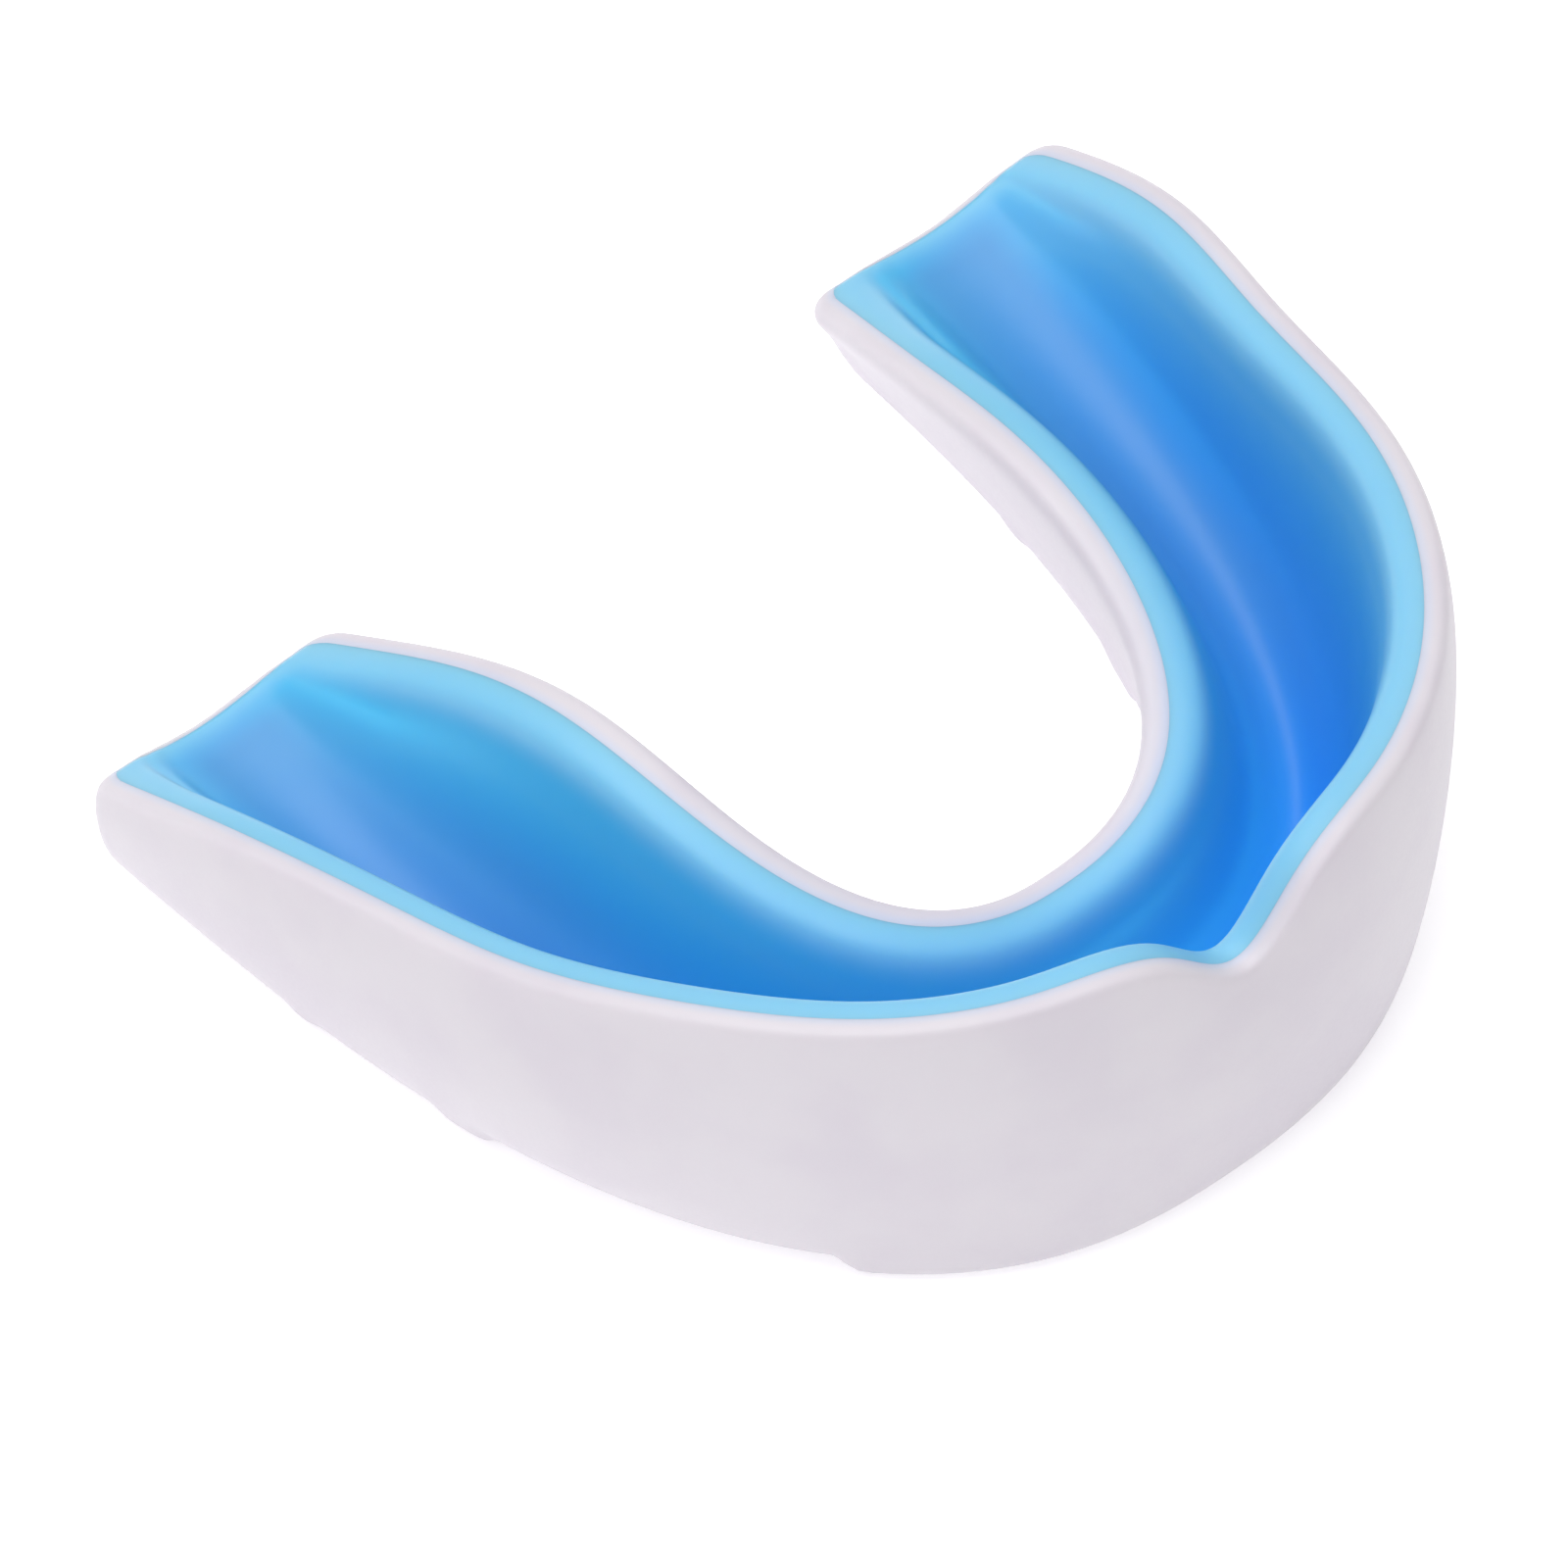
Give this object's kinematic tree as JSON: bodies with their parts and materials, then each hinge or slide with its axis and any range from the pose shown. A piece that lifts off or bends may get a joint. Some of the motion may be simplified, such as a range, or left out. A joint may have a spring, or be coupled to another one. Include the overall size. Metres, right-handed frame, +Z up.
{
  "type": "mouthguard",
  "caption": "U-shaped boil-and-bite sports mouthguard: firm white outer shell with a soft blue gel liner that forms an open tooth trough",
  "frame": {"origin": "middle of the guard's footprint, on the surface it lies on", "axes": "-Y towards the front teeth, +Y towards the rear ends of the legs, +X to the right of a person looking from the front teeth to the rear, +Z up, out of the open tooth trough"},
  "size_m": [0.0656, 0.0549, 0.0239],
  "materials": {
    "shell": "satin moulded thermoplastic rubber, off-white with a faint lilac cast",
    "gel": "smooth satin translucent gel, light blue where thin and deeper blue in the trough"
  },
  "bodies": {
    "root": {"outer_shell": "shell", "gel_liner": "gel"}
  },
  "joints": []
}
